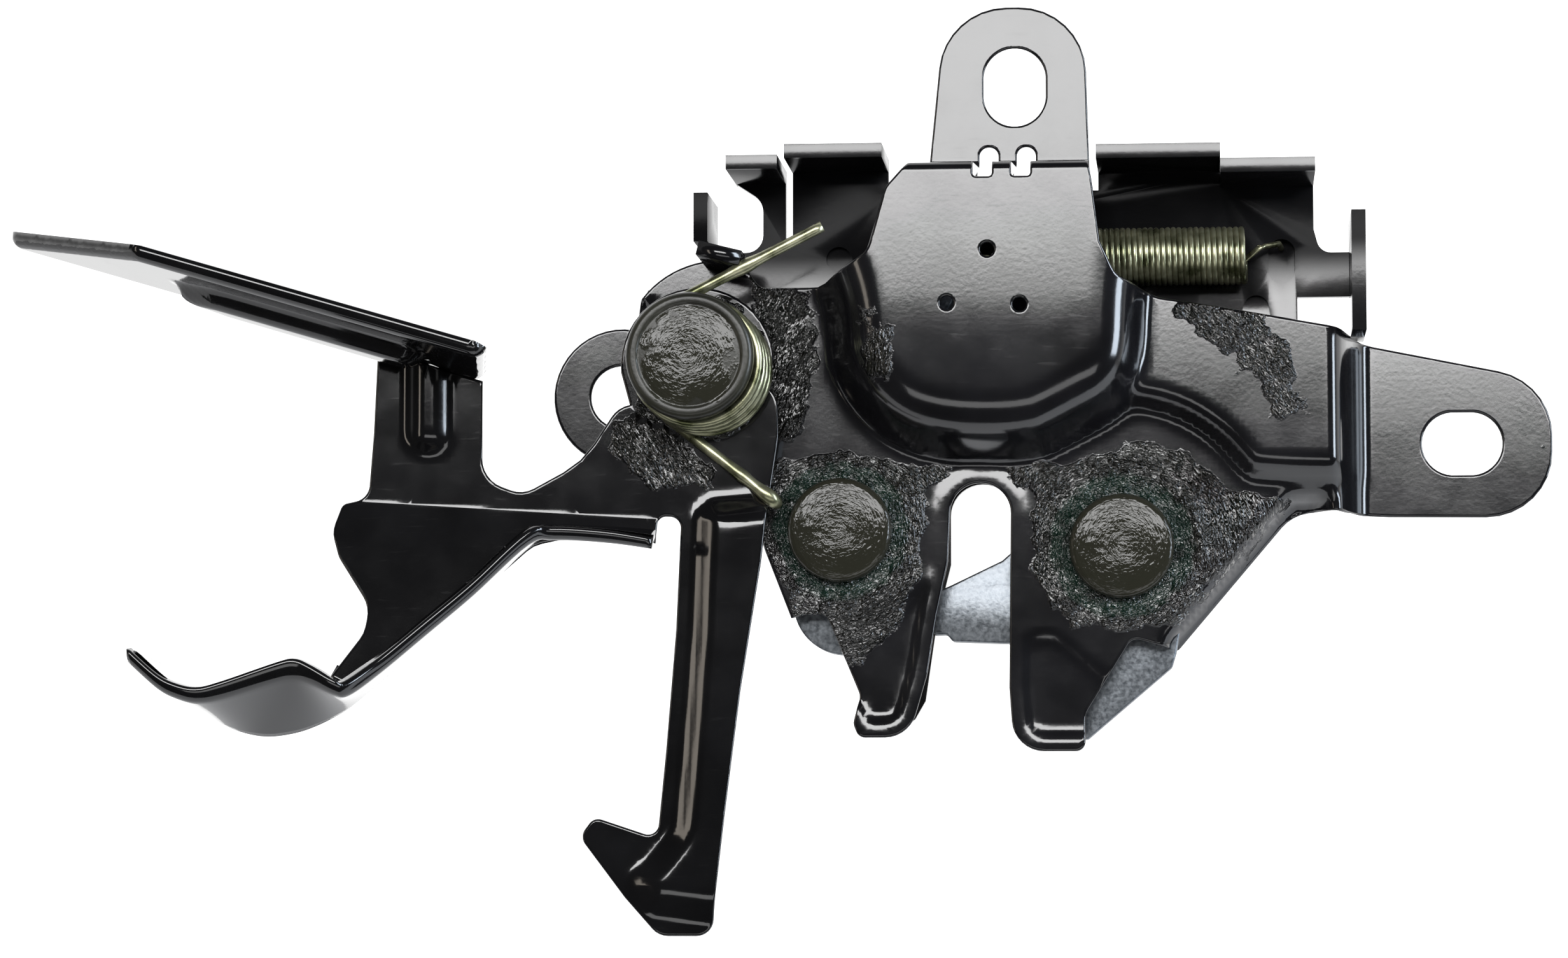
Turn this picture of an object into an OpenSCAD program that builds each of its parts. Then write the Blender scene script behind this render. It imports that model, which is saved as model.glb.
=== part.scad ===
// Bonnet latch: two pressed plates, a claw and pawl between them, and a sprung safety lever in front.
// X is to the right, Z is up and -Y faces the viewer. The ears' rear faces lie at Y = 0.
// The striker slot is centred on X = 0 and the latched striker lies at the origin's X and Z.

/* [Sheet and layers] */
// Thickness of the front plate's sheet
plate_t = 2; // [1.6:0.1:2.4]
// Thickness of the back plate's sheet
back_t = 2; // [1.6:0.1:2.4]
// Thickness of the safety lever's sheet
lever_t = 2; // [1.6:0.1:2.4]
// Thickness of the claw and the pawl
claw_t = 4; // [3:0.1:5]
// Running gap on each side of the claw and the pawl
layer_gap = 0.3; // [0.2:0.05:0.5]
// Room behind the back plate for the rivet tails
tail_room = 2.4; // [2.2:0.1:3.5]
// Height of the dome's face above the pan
dome_h = 13; // [11:0.5:15]
// Height of the box's face above the pan
box_h = 5; // [4.5:0.5:6.5]
// Gap from the pan to the safety lever
lever_lift = 3.6; // [3.4:0.1:5]
// How far the back plate's flanges reach to the front of its rear face
flange_d = 17; // [13:0.5:18]

/* [Pivots] */
// Claw pivot, to the right of the slot centre
claw_px = 20; // [19.5:0.1:20.5]
// Claw pivot height
claw_pz = -4; // [-4.5:0.1:-3.5]
// Pawl pivot, to the left of the slot centre
pawl_px = 20; // [19.8:0.1:20.6]
// Pawl pivot height
pawl_pz = -1.5; // [-2:0.1:-1.2]
// Lever pivot, to the left of the slot centre
lever_px = 40; // [39:0.5:41]
// Lever pivot height
lever_pz = 22; // [21:0.5:23]
// Radius of the claw and pawl journals
journal_r = 5; // [4.6:0.1:5.5]
// Radius of the lever's journal
lever_journal_r = 6; // [5.5:0.1:6.5]
// Radius of the rivet necks in the plates
neck_r = 4; // [3.5:0.1:4.3]
// Radius of the claw and pawl rivet heads
head_r = 7.4; // [6.5:0.1:8]
// Thickness of the claw and pawl rivet heads
head_t = 3; // [2:0.1:3.2]
// Radius of the lever rivet's head
lever_head_r = 9; // [8.5:0.1:10]
// Thickness of the lever rivet's head
lever_head_t = 2.6; // [2:0.1:3.5]
// Radial running clearance of a journal in its bore
run_fit = 0.05; // [0.02:0.01:0.1]

/* [Striker slot and legs] */
// Width of the striker slot
slot_w = 8.6; // [8.4:0.1:9]
// Height of the slot's round top above the latched striker
slot_top = 5.3; // [5:0.1:6]
// How far the legs reach below the latched striker
leg_z = 33; // [31:0.5:36]
// Angle that the pawl drops to lock the claw
pawl_drop = 7; // [6.5:0.1:8]

/* [Ears] */
// Width of the ears' bolt holes
bolt_w = 9; // [7:0.1:10]
// Length of the slotted bolt holes
bolt_l = 11.4; // [10.5:0.1:14]
// Top ear's slot centre, along X
top_hole_x = 4.7; // [3.7:0.1:5.7]
// Top ear's slot centre, height
top_hole_z = 63.6; // [62:0.1:65]
// Right ear's slot centre, along X
right_hole_x = 68.5; // [67:0.1:70]
// Right ear's slot centre, height
right_hole_z = 11.1; // [10:0.1:12]
// Left ear's hole centre, along X
left_hole_x = -52.5; // [-53.5:0.1:-51.5]
// Left ear's hole centre, height
left_hole_z = 18.9; // [18:0.1:20]
// Metal left round a bolt hole
ear_rim = 5.6; // [5:0.1:7]

/* [Safety lever] */
// Width of the upper finger strip, front to back
strip_w = 21.5; // [15:0.5:25]
// Lean of the upper finger strip
strip_lean = 6; // [0:1:10]
// Slope of the upper finger strip, up to the left
strip_slope = 16.6; // [14:0.2:19]
// Left tip of the upper finger strip
strip_x = -139.5; // [-145:0.5:-134]
// Where the slanting end of the upper finger strip meets its front edge
strip_cut = -117.8; // [-122:0.2:-112]
// Lean of the lower finger flap towards the viewer
flap_lean = 16; // [14:1:18]
// Depth of the curved tip strip's front edge
tip_y = -38; // [-40:0.5:-35]
// Height of the hook's lowest edge
hook_z = -59; // [-62:0.1:-57]

/* [Springs] */
// Wire of the lever's torsion spring
torsion_wire = 1.6; // [1.4:0.1:1.8]
// Turns of the lever's torsion spring
torsion_turns = 4; // [3:1:5]
// Wire of the pawl's extension spring
pull_wire = 1.2; // [0.9:0.1:1.3]
// Outside diameter of the pawl's extension spring
pull_od = 8.8; // [8:0.1:9]
// Wire of the claw's torsion spring
claw_wire = 1.2; // [1:0.1:1.3]

/* [Hidden] */
$fn = 48;
eps = 0.01;
// Room round the pull spring
spring_clear = 0.6;
// Fit of a rivet neck in its hole
neck_fit = 0.02;
// Faces along Y, from the mounting plane to the viewer
back_rear = -tail_room;
back_front = back_rear - back_t;
claw_rear = back_front - layer_gap;
claw_front = claw_rear - claw_t;
pan_rear = claw_front - layer_gap;
pan_front = pan_rear - plate_t;
box_front = pan_front - box_h;
dome_front = pan_front - dome_h;
lever_rear = pan_front - lever_lift;
lever_front = lever_rear - lever_t;
// Pivot points, as X and Z
claw_p = [claw_px, claw_pz];
pawl_p = [-pawl_px, pawl_pz];
lever_p = [-lever_px, lever_pz];
post_p = [37, 17];
post_r = 3.4;
// The back plate's slot for the pull spring's hook, and the pawl's own hook hole when locked
anchor_x = 43;
anchor_z = [34.2, 40.6];
anchor_w = 3.8;
// Thickness of the lanced bridge behind that slot, and depth of the back plate's dimples
lug_t = 1.4;
dimple_d = 0.9;
pawl_hook = [-1, 35.5];
pawl_hook_r = 1.7;
// Walls that join the pan to the ears
left_wall_x = -47.2;
right_wall_x = 51;
ear_foot_z = 52.5;
// Foot of the top flanges
flange_z = 52.6;
flange_step = 2;
// The tab that the lever's spring bears on
tab_p = [-35.8, 36.7];
tab_turn = 14;
// The flap's bend line
flap_z = 1.2;
tail_t = 1.6;
tail_r = 6;

function unit(v) = v / norm(v);

// Points of a round corner of radius r at b, between the edges to a and c
function corner(a, b, c, r, n = 7) =
    let (u = unit(a - b), w = unit(c - b), half = acos(max(-0.99999, min(0.99999, u * w))) / 2,
         centre = b + unit(u + w) * r / sin(half), first = b + u * r / tan(half) - centre,
         last = b + w * r / tan(half) - centre, a0 = atan2(first[1], first[0]),
         turn = atan2(last[1], last[0]) - a0,
         sweep = turn > 180 ? turn - 360 : turn < -180 ? turn + 360 : turn)
    [for (i = [0 : n]) centre + r * [cos(a0 + sweep * i / n), sin(a0 + sweep * i / n)]];

// An outline whose points are [x, z] or [x, z, corner radius]
function rounded(p) = [for (i = [0 : len(p) - 1])
    let (n = len(p), b = p[i], before = p[(i + n - 1) % n], after = p[(i + 1) % n])
    each is_undef(b[2]) ? [b] : corner([before[0], before[1]], [b[0], b[1]], [after[0], after[1]], b[2])];

// Lays a front view outline on its layer: from y_rear towards the viewer by t
module layer(y_rear, t) translate([0, y_rear, 0]) rotate([90, 0, 0]) linear_extrude(t) children();

// A round bar along Y, from y_rear towards the viewer
module bar(p, y_rear, t, r) translate([p[0], y_rear, p[1]]) rotate([90, 0, 0]) cylinder(h = t, r = r);

// A slotted hole through Y: upright when its travel is along Z
module slotted(p, y_rear, t, w, l, upright) {
    travel = (l - w) / 2;
    for (side = [-1, 1]) bar(p + side * (upright ? [0, travel] : [travel, 0]), y_rear, t, w / 2);
    size = upright ? [w, l - w] : [l - w, w];
    layer(y_rear, t) translate(p) square(size, center = true);
}

// One ring of a round wire at point p, square to direction d
function wire_ring(p, d, r, sides) =
    let (side = abs(d[2]) > 0.9 * norm(d) ? [1, 0, 0] : [0, 0, 1],
         u = unit(cross(d, side)), v = unit(cross(d, u)))
    [for (k = [0 : sides - 1]) p + r * (u * cos(360 * k / sides) + v * sin(360 * k / sides))];

// A closed solid through a list of rings of points
module tube(rings) {
    n = len(rings);
    sides = len(rings[0]);
    walls = [for (i = [0 : n - 2]) for (k = [0 : sides - 1])
        let (k2 = (k + 1) % sides)
        each [[i * sides + k, (i + 1) * sides + k2, i * sides + k2],
              [i * sides + k, (i + 1) * sides + k, (i + 1) * sides + k2]]];
    ends = [[for (k = [0 : sides - 1]) k], [for (k = [sides - 1 : -1 : 0]) (n - 1) * sides + k]];
    polyhedron([for (ring = rings) each ring], concat(walls, ends), convexity = 6);
}

// A round wire of radius r along a list of points
module wire(path, r, sides = 8) tube([for (i = [0 : len(path) - 1])
    wire_ring(path[i], path[min(i + 1, len(path) - 1)] - path[max(i - 1, 0)], r, sides)]);

// Front view outlines
slot_half = slot_w / 2;

module striker_slot(y_rear, t, grow = 0) {
    arch = slot_half + grow;
    layer(y_rear, t)
        polygon(concat([for (a = [0 : 10 : 180]) [arch * cos(a), slot_top - slot_half + arch * sin(a)]],
            [[-arch, -6], [-6.3 - grow, -14], [-8 - grow, -25.5], [-9.8, 4.9 - leg_z], [-13, 2.5 - leg_z],
             [-13.5, -leg_z - 10],
             [arch + 5, -leg_z - 10], [arch + 1, -leg_z + 4.5], [arch, -24]]));
}

module pan_outline() polygon(rounded([
    [-33.5, 4, 6], [-30.9, -4, 20], [-27, -14], [-25, -13.5, 0.6], [-22, -13.5, 1.2], [-17.2, -25, 2],
    [-18.2, -29, 1.5], [-17.2, 2 - leg_z, 1.4], [-12, 2 - leg_z, 4], [-7, -25], [4.5, -25], [7, -leg_z, 3],
    [14.8, -leg_z, 1.4], [14.7, -27.8, 3], [21.4, -17, 1.5], [27.7, -18.7, 1], [44.6, 1.2, 6],
    [right_wall_x, 2], [right_wall_x, 26.5], [37.3, 29], [24.7, 30.4], [20, 33], [17.5, 36], [-19, 36],
    [-25, 34, 4], [-31.5, 33, 2], [-38, 38.6, 7], [left_wall_x - 3, 36, 6], [left_wall_x, 8, 3]]));

module dome_neck(inset, depth) hull() {
    layer(pan_front + eps, eps) offset(delta = -inset)
        polygon([[-13.5, 46], [-20.3, 31], [20, 31], [17, 46]]);
    layer(depth + 1, 1) offset(r = 1.5) offset(delta = -inset - 1.5)
        polygon([[-12.3, 45.5], [-13.2, 28], [17, 28], [16.2, 45.5]]);
}

module dome_bulb(inset, depth) hull() {
    layer(pan_front + eps, eps) offset(r = 3) offset(delta = -inset - 3)
        polygon([[-20.5, 31], [-21.5, 26], [-20, 18], [-11.5, 11.2], [-6.8, 8.2], [7, 7.4], [13.5, 10.4],
                 [21.3, 15.6], [24.6, 23], [24.6, 30], [20, 33]]);
    layer(depth + 2, 2) offset(r = 4) offset(delta = -inset - 4)
        polygon([[-13.2, 32], [-13, 23], [-10.5, 17.5], [-5, 14.6], [11.5, 14.6], [15.5, 17.5], [17.3, 23],
                 [17, 32]]);
}

module box_form(inset, depth) hull() {
    layer(pan_front + eps, eps) offset(delta = -inset)
        polygon([[22, 30.6], [right_wall_x, 26.4], [right_wall_x, 3], [37, 4], [32.5, 8], [30.5, 12],
                 [22, 15]]);
    layer(depth + 1, 1) offset(r = 2) offset(delta = -inset - 2)
        polygon([[22, 30], [50, 26], [50, 6.5], [38.5, 6.5], [34, 10], [32, 13.5], [22, 17]]);
}

// The area that the dome and the box press out of the pan
module pressed_opening() polygon([
    [-15.5, 40], [-18, 31], [-19.2, 26], [-18, 19.2], [-10.8, 13.4], [-6.2, 10.4], [6.5, 9.6], [12.5, 12.4],
    [20, 17.4], [31.5, 13.6], [34, 9.4], [38, 6.2], [right_wall_x - plate_t, 6],
    [right_wall_x - plate_t, 24.4], [37, 26.8], [24.6, 28.2], [18.6, 31.5], [16, 40]]);

module ear_outline(which) {
    reach = bolt_w / 2 + ear_rim;
    top = top_hole_z + bolt_l / 2 + ear_rim;
    if (which == "top") polygon(rounded([[-7.8, ear_foot_z - 1], [top_hole_x - reach, top, 9.4],
        [top_hole_x + reach, top, 9.4], [15.5, ear_foot_z - 1]]));
    if (which == "right") polygon(rounded([[right_wall_x - plate_t, 25.2], [56, 25.2],
        [right_hole_x + bolt_l / 2 + ear_rim + 0.6, right_hole_z + reach - 1, 9.4],
        [right_hole_x + bolt_l / 2 + ear_rim, right_hole_z - reach - 0.8, 9.6], [58, 0.6],
        [right_wall_x - plate_t, 1.4]]));
    if (which == "left") polygon(rounded([[left_wall_x + plate_t, left_hole_z - reach],
        [left_hole_x - reach, left_hole_z - reach, 9.9], [left_hole_x - reach, left_hole_z + reach, 9.9],
        [left_wall_x + plate_t, left_hole_z + reach]]));
}

// The sloping shelf from the dome's face up to the top ear
module shelf() intersection() {
    translate([-20, 0, 0]) rotate([90, 0, 90]) linear_extrude(50)
        polygon([[dome_front, 44.6], [dome_front, 45.6], [dome_front + 1, 46.8], [-plate_t, ear_foot_z],
                 [-plate_t, ear_foot_z + 2], [0, ear_foot_z + 2], [0, ear_foot_z - 1.8],
                 [dome_front + plate_t, 44.6]]);
    layer(5, 50)
        polygon([[-12.9, 44], [16.6, 44], [15.5, ear_foot_z], [15.5, 60], [-7.8, 60], [-7.8, ear_foot_z]]);
}

// The pull spring leaves the dome through its right wall
module spring_door() layer(pan_rear + 1, pan_rear + 1 - pull_y + pull_od / 2 + spring_clear)
    translate([13, pull_z - pull_od / 2 - spring_clear]) square([10, pull_od + 2 * spring_clear]);

module front_plate() color([0.05, 0.05, 0.06]) difference() {
    union() {
        difference() {
            layer(pan_rear, plate_t) pan_outline();
            layer(pan_rear + 1, plate_t + 2) pressed_opening();
        }
        difference() {
            union() {
                dome_neck(0, dome_front);
                dome_bulb(0, dome_front);
                box_form(0, box_front);
            }
            dome_neck(plate_t, dome_front + plate_t);
            dome_bulb(plate_t, dome_front + plate_t);
            box_form(plate_t, box_front + plate_t);
        }
        shelf();
        for (ear = ["top", "right", "left"]) layer(0, plate_t) ear_outline(ear);
        layer(0, -box_front) translate([right_wall_x - plate_t, 2]) square([plate_t, 24]);
        layer(0, -pan_front) translate([left_wall_x, left_hole_z - bolt_w / 2 - ear_rim])
            square([plate_t, bolt_w + 2 * ear_rim]);
        layer(-plate_t, -pan_front - plate_t)
            polygon([[31, -14.8], [44.6, 1.2], [right_wall_x, 1.4], [right_wall_x, 3.2], [43.7, 3.2],
                     [29.9, -13.4]]);
        translate([tab_p[0], 0, tab_p[1]]) rotate([0, tab_turn, 0])
            layer(pan_rear, pan_rear - lever_head_rear) square([6.2, plate_t], center = true);
    }
    striker_slot(pan_rear + 1, plate_t + 2);
    spring_door();
    bar(claw_p, pan_rear + 1, plate_t + 2, neck_r + neck_fit);
    bar(pawl_p, pan_rear + 1, plate_t + 2, neck_r + neck_fit);
    bar(lever_p, pan_rear + 1, plate_t + 2, neck_r + neck_fit);
    slotted([top_hole_x, top_hole_z], 1, plate_t + 2, bolt_w, bolt_l, true);
    slotted([right_hole_x, right_hole_z], 1, plate_t + 2, bolt_w, bolt_l, false);
    bar([left_hole_x, left_hole_z], 1, plate_t + 2, bolt_w / 2);
    for (x = [1.1, 6.5]) slotted([x, ear_foot_z], 1, 16, 2.7, 5.4, true);
    for (p = [[1.6, 37], [-4.1, 29.5], [6.1, 29.2]]) bar(p, dome_front + plate_t + 1, plate_t + 2, 0.95);
}

module back_outline() polygon(rounded([
    [-28, -3, 6], [-21.5, -15], [-16.5, -25.5, 2], [-15.5, 3.5 - leg_z, 2], [-9.5, 3.5 - leg_z, 3],
    [-7, -25], [5, -25], [8, 2 - leg_z, 3], [13.4, 2 - leg_z, 2], [15, -24, 3], [20.5, -15.5, 3],
    [27, -15, 3], [43, 3, 4], [45.2, 12, 4], [45.2, 32.2], [54.6, 32.2], [54.6, 38.6],
    [48.5, 38.6, 2], [47.6, 42, 2],
    [47.6, flange_z - flange_step - 0.4], [34.3, flange_z - flange_step - 0.4], [34.3, flange_z - 0.2],
    [16.8, flange_z - 0.2], [16.8, 48], [-13.5, 48], [-13.5, flange_z + 0.4], [-27.4, flange_z + 0.4],
    [-27.4, 40, 0.6], [-28.4, 40, 0.3], [-28.4, flange_z - 1.1], [-35.7, flange_z - 1.1],
    [-35.7, flange_z - 3],
    [-31.7, 47, 3], [-31.7, 39.5, 2.5],
    [-38.5, 39.5, 0.4], [-38.5, 46.5], [-40.5, 46.5], [-40.5, 36, 2], [-38, 30, 8], [-31, 12, 8]]));

module flange(x0, x1, z_top)
    layer(back_rear, flange_d) translate([x0, z_top - back_t]) square([x1 - x0, back_t]);

module back_plate() color([0.04, 0.04, 0.05]) difference() {
    union() {
        layer(back_rear, back_t) back_outline();
        flange(-27.4, -13.5, flange_z + 0.4);
        flange(-35.7, -28.4, flange_z - 1.1);
        flange(16.8, 34.3, flange_z - 0.2);
        flange(34.3, 47.6, flange_z - flange_step - 0.4);
        layer(back_rear, flange_d - 2) translate([-40.5, 39.5]) square([back_t, 7]);
        layer(back_rear, flange_d - 1) translate([52.6, 25.8]) square([back_t, 17]);
        layer(back_rear + lug_t, lug_t + eps) translate([anchor_x - 4.5, anchor_z[0] - 1.5])
            square([9, anchor_z[1] - anchor_z[0] + 3]);
    }
    striker_slot(back_rear + 1, back_t + 2, 0.3);
    bar(claw_p, back_rear + 1, back_t + 2, neck_r + neck_fit);
    bar(pawl_p, back_rear + 1, back_t + 2, neck_r + neck_fit);
    bar(post_p, back_rear + 1, back_t + 2, post_r / 2 + neck_fit);
    slotted([anchor_x, (anchor_z[0] + anchor_z[1]) / 2], back_rear, back_t + 1,
            anchor_w, anchor_z[1] - anchor_z[0], true);
    for (p = [[-20.7, 38.4], [39.3, 30.7]]) bar(p, back_front + dimple_d, dimple_d + 1, 1.8);
}

// Claw at rest, swung open, about its own pivot
claw_outline = [
    [-28.6, -7, 1.2], [-24.4, -5.2], [-17.1, -1.7], [-10, 4.5], [-4, 9], [4, 10], [7, 11.4, 1], [9.4, 9, 1],
    [9.5, -4], [7.6, -15, 1], [7, -17, 1], [-5, -27.2, 0.6], [-7.2, -27.2, 0.6], [-6.4, -22],
    [-6.4, -17.5, 3.6], [-9.5, -13.5, 3.6], [-16.7, -13.5], [-24.2, -13.2], [-25, -12.2],
    [-26.9, -12.3, 0.6]];
claw_hub_r = 11;

module claw() color([0.72, 0.74, 0.76]) difference() {
    union() {
        layer(claw_rear, claw_t) translate(claw_p) polygon(rounded(claw_outline));
        bar(claw_p, claw_rear, claw_t, claw_hub_r);
    }
    bar(claw_p, claw_rear + 1, claw_t + 2, journal_r + run_fit);
}

// Pawl when locked, about its own pivot
hook_arm = pawl_hook - pawl_p;
pawl_outline = [
    [-6, 6.5], [-1, 16, 8], [hook_arm[0] - 7, hook_arm[1] - 2, 8], [hook_arm[0] - 3, hook_arm[1] + 4, 3],
    [hook_arm[0] + 3.6, hook_arm[1] + 2.6, 3], [hook_arm[0] + 1, hook_arm[1] - 6, 6], [12.5, 22, 4],
    [17.7, 18.7, 0.5], [18.7, 16.1, 0.3], [17, 14.7, 0.4], [7.5, 11, 3], [8.6, 0]];
pawl_hub_r = 9;
pawl_lobe_r = 7.4;
pawl_lobe = [-0.8, -10.1];

module pawl() color([0.72, 0.74, 0.76])
translate([pawl_p[0], 0, pawl_p[1]]) rotate([0, -pawl_drop, 0]) difference() {
    union() {
        layer(claw_rear, claw_t) polygon(rounded(pawl_outline));
        bar([0, 0], claw_rear, claw_t, pawl_hub_r);
        bar(pawl_lobe, claw_rear, claw_t, pawl_lobe_r);
    }
    bar([0, 0], claw_rear + 1, claw_t + 2, journal_r + run_fit);
    bar(hook_arm, claw_rear + 1, claw_t + 2, pawl_hook_r);
}

// Stepped rivet through both plates: head, front neck, journal, rear neck and peened tail
module plate_rivet(p) {
    bar(p, pan_front, head_t, head_r);
    bar(p, back_rear + eps, back_rear - pan_front + 2 * eps, neck_r);
    bar(p, back_front, back_front - pan_rear, journal_r);
    bar(p, back_rear + tail_t, tail_t, tail_r);
}

module claw_rivet() color([0.25, 0.26, 0.2]) plate_rivet(claw_p);

module pawl_rivet() color([0.25, 0.26, 0.2]) plate_rivet(pawl_p);

// The lever's torsion spring: its coil's centre, radius, end angles and rise
coil_p = [lever_p[0] + 1.4, lever_p[1] - 1];
coil_r = lever_journal_r + 1.85 + torsion_wire / 2;
first_a = 122;
last_a = 250;
sweep_a = 360 * torsion_turns + last_a - first_a;
coil_rise = 1.02 * torsion_wire * sweep_a / 360;
spring_gap = 0.15;
coil_y0 = lever_front - spring_gap - torsion_wire / 2;
lever_head_rear = coil_y0 - coil_rise - torsion_wire / 2 - spring_gap;
// Side play of the lever on its rivet's shoulder
shoulder_play = 0.15;
shoulder_r = lever_journal_r + 2;

module lever_rivet() color([0.25, 0.26, 0.2]) {
    bar(lever_p, lever_head_rear, lever_head_t, lever_head_r);
    journal_rear = lever_rear + 2 * shoulder_play;
    bar(lever_p, journal_rear, journal_rear - lever_head_rear + eps, lever_journal_r);
    bar(lever_p, pan_front, lever_lift - shoulder_play, shoulder_r);
    bar(lever_p, pan_rear + eps, plate_t + 2 * eps, neck_r);
    bar(lever_p, pan_rear + tail_t, tail_t, tail_r - 1);
}

module lever_outline() {
    polygon(rounded([
        [-28.6, 20, 4], [-28.4, 11.5, 8], [-29.7, 2.9], [-30.7, -6.3], [-33.6, -24.5], [-35.8, -41.8],
        [-37.8, hook_z, 2.5], [-45.4, hook_z, 3], [-50.2, -53.6, 6], [-56.7, -45, 1.8], [-54.6, -42.2, 1.6],
        [-45.6, -45.2, 1.5], [-44.4, -33], [-43, -15.8], [-42.3, 0.2, 1.6], [-45.6, 0, 1.2],
        [-45.6, flap_z - 1.5], [-88, flap_z + 1.6], [-86.5, 12.6], [-86, 25, 0.5], [-70.8, 20.4, 0.5],
        [-70.8, 5.8, 4.5], [-65, 3.6, 4], [-54, 9.5, 12], [-51, 22, 3]]));
    translate(lever_p) circle(r = 11);
}

// The upper finger strip's foot on the arm, and its plan from there
strip_foot = [-86, 24.1];
strip_end = -68.5;
function along_strip(x) = (x - strip_foot[0]) / cos(strip_slope);

module finger_strip() translate([strip_foot[0], lever_rear, strip_foot[1]])
    rotate([-strip_lean, 0, 0]) rotate([0, strip_slope, 0]) linear_extrude(lever_t)
        polygon(rounded([[along_strip(strip_x), 0, 0.6], [along_strip(strip_cut), -strip_w, 1.5],
                         [along_strip(strip_end), -strip_w, 2], [along_strip(strip_end), 0]]));

// The flap as seen from the front
flap_outline = [[-88, 2.6], [-90.9, 2.4, 1], [-92.2, -1.6, 4], [-91, -5.4, 4], [-86.2, -12.6, 6],
                [-86.8, -16.4, 4], [-91.4, -23], [-86.6, -25.3], [-82.8, -22.2], [-70.3, -10.7],
                [-63.2, -4], [-59.5, -3.2], [-45.9, -4], [-45.6, 1]];
// Outer face of the flange along the flap's edge and of the tip strip, from right to left: front edge, root
flange_lines = [[[-45.9, -23, -5.1], [-45.9, -17.2, -4.4]], [[-61.3, -25, -3.7], [-61.5, -16.3, -3.6]],
                [[-86.6, tip_y + 1, -25.8], [-86.6, -22.4, -25.7]],
                [[-91.8, tip_y, -23.5], [-93, -23.5, -29.5]],
                [[-96.3, tip_y, -23.2], [-100.4, -23.8, -31]],
                [[-103, tip_y, -25.6], [-104.6, -23.6, -30.1]],
                [[-108.5, tip_y, -26.4], [-109, -23, -28]],
                [[-117.2, tip_y, -21.2], [-116.6, -23, -22]]];
function flange_ring(i) =
    let (a = flange_lines[max(i - 1, 0)][0], b = flange_lines[min(i + 1, len(flange_lines) - 1)][0],
         d = unit([b[0] - a[0], 0, b[2] - a[2]]), n = lever_t * [d[2], 0, -d[0]],
         near = flange_lines[i][0], root = flange_lines[i][1])
    [root, near, near + n, root + n];

module flap_flange() tube([for (i = [0 : len(flange_lines) - 1]) flange_ring(i)]);

module safety_lever() color([0.05, 0.05, 0.06]) difference() {
    union() {
        layer(lever_rear, lever_t) lever_outline();
        finger_strip();
        translate([0, lever_rear, flap_z]) rotate([-flap_lean, 0, 0]) layer(0, lever_t)
            scale([1, 1 / cos(flap_lean)]) translate([0, -flap_z]) polygon(rounded(flap_outline));
        flap_flange();
    }
    bar(lever_p, lever_rear + 1, lever_t + 2, lever_journal_r + run_fit);
}

// A leg on the front plate's tab, close turns, and a leg hooked over the lever's right edge
coil_steps = 24 * torsion_turns + 8;
leg_hook = [-28.8, 2.2];
torsion_path = concat(
    [[-21.5, coil_y0 - coil_rise, 40.4]],
    [for (i = [0 : coil_steps])
        let (a = first_a + sweep_a * i / coil_steps, y = coil_y0 - coil_rise * (1 - i / coil_steps))
        [coil_p[0] + coil_r * cos(a), y, coil_p[1] + coil_r * sin(a)]],
    [[leg_hook[0] - 0.7, coil_y0, leg_hook[1] + 0.6], [leg_hook[0], coil_y0 + 0.7, leg_hook[1]],
     [leg_hook[0], lever_rear, leg_hook[1]]]);

module lever_spring() color([0.45, 0.46, 0.3]) wire(torsion_path, torsion_wire / 2);

// Extension spring from the pawl's arm to the back plate's slot
pull_r = (pull_od - pull_wire) / 2;
pull_y = back_front - 0.5 - pull_od / 2;
pull_z = 37.6;
pull_x = [4, 37.8];
pull_turns = floor((pull_x[1] - pull_x[0]) / (pull_wire * 1.16));
rest_hook = pawl_p
    + [[cos(pawl_drop), -sin(pawl_drop)] * hook_arm, [sin(pawl_drop), cos(pawl_drop)] * hook_arm];
pull_path = concat(
    [[rest_hook[0], claw_rear - 1, rest_hook[1]], [rest_hook[0], claw_front - 1, rest_hook[1]],
     [pull_x[0] - 3, pull_y - 1, pull_z]],
    [for (i = [0 : 14 * pull_turns]) let (a = 360 * i / 14)
        [pull_x[0] + (pull_x[1] - pull_x[0]) * i / (14 * pull_turns), pull_y + pull_r * cos(a),
         pull_z + pull_r * sin(a)]],
    [[pull_x[1] + 2, pull_y - 1, pull_z + 1], [anchor_x - 0.4, back_front - 1.5, anchor_z[1] - 0.9],
     [anchor_x, back_rear - 0.6, anchor_z[1] - 1.2]]);

module pawl_spring() color([0.4, 0.42, 0.25]) wire(pull_path, pull_wire / 2, 6);

// The claw's torsion spring turns on a post under the box. One leg rests on the pan's edge, and one on the
// claw's tail.
claw_coil_r = post_r + claw_wire / 2 + 0.3;
claw_coil_y = claw_front - 1.6;
claw_coil_steps = 60;
claw_coil_turns = 2.5;
claw_path = concat(
    [[post_p[0] + claw_coil_r, claw_coil_y, 6.9]],
    [for (i = [0 : claw_coil_steps])
        let (a = 360 * claw_coil_turns * i / claw_coil_steps,
             y = claw_coil_y + (claw_coil_turns + 0.3) * claw_wire * i / claw_coil_steps)
        [post_p[0] + claw_coil_r * cos(a), y, post_p[1] + claw_coil_r * sin(a)]],
    [[claw_px + 10.8, claw_front + 2, claw_pz + 10]]);

module claw_spring() color([0.6, 0.6, 0.55]) wire(claw_path, claw_wire / 2, 6);

module claw_spring_post() color([0.6, 0.6, 0.6]) {
    bar(post_p, back_rear, back_t + eps, post_r / 2);
    bar(post_p, back_front, back_front - box_front - plate_t - 0.2, post_r);
}

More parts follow.
